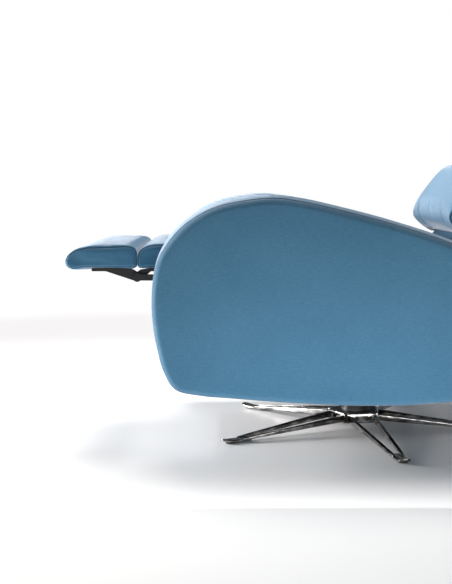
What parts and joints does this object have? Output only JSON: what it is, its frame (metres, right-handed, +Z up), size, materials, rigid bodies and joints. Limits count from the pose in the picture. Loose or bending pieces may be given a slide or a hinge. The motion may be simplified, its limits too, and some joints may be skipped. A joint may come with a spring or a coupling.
{
  "type": "star base swivel recliner",
  "caption": "Upholstered swivel recliner with rounded arms, fold-out footrest, reclining back and a star base of chrome hairpin legs.",
  "frame": {"origin": "on the floor under the swivel axis, with the chair at rest reclined and its footrest out", "axes": "+Z up, -Y the way the sitter faces, +X to the sitter's left"},
  "size_m": [0.76, 1.3532, 1.0031],
  "materials": {
    "fabric": "steel blue woven upholstery",
    "foam": "cut foam",
    "plywood": "bare plywood",
    "webbing": "elastic webbing",
    "black_steel": "black satin paint",
    "chrome": "polished chrome plate",
    "rubber": "black moulded",
    "nylon": "natural nylon"
  },
  "bodies": {
    "base": {"base_hub": "black_steel", "base_leg_1": "chrome", "base_leg_2": "chrome", "base_leg_3": "chrome", "base_leg_4": "chrome", "base_leg_5": "chrome", "foot_glides": "rubber", "leg_screws": "black_steel", "swivel_post": "black_steel", "thrust_bearing": "nylon"},
    "chassis": {"swivel_housing": "black_steel", "post_bushes": "nylon", "turntable_plate": "black_steel", "chassis_rail_left": "black_steel", "chassis_rail_right": "black_steel", "cross_rails": "plywood", "seat_posts": "plywood", "frame_bolts": "chrome", "rear_panel": "fabric", "seat_rails": "plywood", "seat_webbing": "webbing", "seat_foam": "foam", "seat_cushion": "fabric", "arm_frame_left": "plywood", "arm_frame_right": "plywood", "arm_inner_panel_left": "fabric", "arm_inner_panel_right": "fabric", "arm_band_left": "fabric", "arm_band_right": "fabric", "arm_outer_pad_left": "fabric", "arm_outer_pad_right": "fabric", "side_plate_left": "black_steel", "side_plate_right": "black_steel", "pivot_pins": "chrome", "strut_mount": "black_steel", "lever_bracket": "black_steel"},
    "cranks": {"crank_left": "black_steel", "crank_right": "black_steel", "drive_tube": "black_steel"},
    "drive_links": {"drive_link_left": "black_steel", "drive_link_right": "black_steel"},
    "footrest": {"footrest_bracket_left": "black_steel", "footrest_bracket_right": "black_steel", "footrest_boards": "plywood", "footrest_pad": "fabric", "mid_pad": "fabric"},
    "backrest": {"back_stile_left": "black_steel", "back_stile_right": "black_steel", "back_cross_rails": "black_steel", "back_webbing": "webbing", "back_shell": "fabric", "lumbar_cushion": "fabric", "back_cushion": "fabric", "head_cushion": "fabric", "strut_top_pin": "chrome"},
    "strut_cylinder": {"strut_cylinder": "black_steel"},
    "strut_rod": {"strut_rod": "chrome"},
    "lever": {"release_lever": "chrome", "lever_grip": "rubber"}
  },
  "joints": [
    {"name": "swivel", "type": "hinge", "parent": "base", "child": "chassis", "pos_m": [0, 0, 0.09], "axis": [0, 0, 1], "continuous": true},
    {"name": "footrest_fold", "type": "hinge", "parent": "chassis", "child": "footrest", "pos_m": [0, -0.4, 0.415], "axis": [1, 0, 0], "range_deg": [0, 90]},
    {"name": "crank_turn", "type": "hinge", "parent": "chassis", "child": "cranks", "pos_m": [0, -0.2, 0.415], "axis": [1, 0, 0], "range_deg": [0, 90]},
    {"name": "link_swing", "type": "hinge", "parent": "cranks", "child": "drive_links", "pos_m": [0, -0.317, 0.39], "axis": [1, 0, 0], "range_deg": [-90, 0]},
    {"name": "back_recline", "type": "hinge", "parent": "chassis", "child": "backrest", "pos_m": [0, 0.215, 0.395], "axis": [1, 0, 0], "range_deg": [0, 26]},
    {"name": "strut_tilt", "type": "hinge", "parent": "chassis", "child": "strut_cylinder", "pos_m": [0, -0.205, 0.255], "axis": [1, 0, 0], "range_deg": [-2.49, 0]},
    {"name": "strut_stroke", "type": "slide", "parent": "strut_cylinder", "child": "strut_rod", "axis": [0, 0.989, 0.1481], "range_m": [0, 0.03985]},
    {"name": "lever_pull", "type": "hinge", "parent": "chassis", "child": "lever", "pos_m": [-0.15, -0.205, 0.112], "axis": [1, 0, 0], "range_deg": [-8, 0], "stiffness_Nm_per_rad": 2, "springref_deg": 20.05}
  ],
  "couplings": [
    {"joint": "crank_turn", "follows": "footrest_fold", "ratio": 1},
    {"joint": "link_swing", "follows": "footrest_fold", "ratio": -1},
    {"joint": "strut_tilt", "follows": "back_recline", "ratio": -0.09496},
    {"joint": "strut_stroke", "follows": "back_recline", "m_per_rad": 0.08759}
  ]
}
